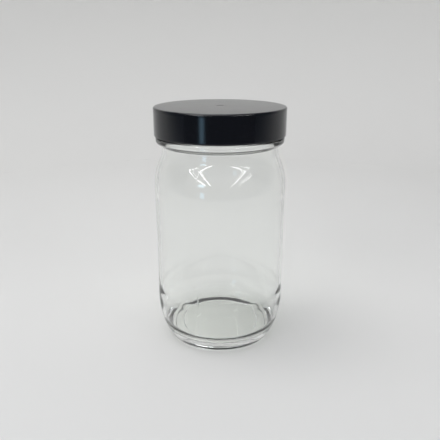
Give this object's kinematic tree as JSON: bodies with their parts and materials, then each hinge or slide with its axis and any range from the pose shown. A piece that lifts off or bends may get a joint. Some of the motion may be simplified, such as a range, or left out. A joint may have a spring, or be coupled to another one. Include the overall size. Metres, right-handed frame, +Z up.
{
  "type": "glass canister",
  "caption": "Clear wide-mouth glass canister with a smooth black screw cap; jar, cap and liner disc are separate, and the cap turns and lifts on its thread.",
  "frame": {"origin": "centre of the foot ring, on the surface that the jar stands on", "axes": "+Z up along the common axis of jar and cap; the jar is round, so +X and +Y are any two level directions at right angles, with -Y towards the front"},
  "size_m": [0.0936, 0.0936, 0.1692],
  "materials": {
    "clear_glass": "clear moulded soda-lime glass, fire-polished inside",
    "black_plastic": "smooth moulded black polypropylene, semi-gloss",
    "white_foam": "white foamed polyethylene sheet"
  },
  "bodies": {
    "jar": {"glass_jar": "clear_glass"},
    "liner": {"cap_liner": "white_foam"},
    "cap": {"screw_cap": "black_plastic"}
  },
  "joints": [
    {"name": "cap_lift", "type": "slide", "parent": "jar", "child": "liner", "axis": [0, 0, 1], "range_m": [0, 0.0305]},
    {"name": "cap_turn", "type": "hinge", "parent": "liner", "child": "cap", "pos_m": [0, 0, 0.1692], "axis": [0, 0, 1], "range_deg": [0, 2160]}
  ],
  "couplings": [
    {"joint": "cap_lift", "follows": "cap_turn", "m_per_rad": 0.00080851}
  ]
}
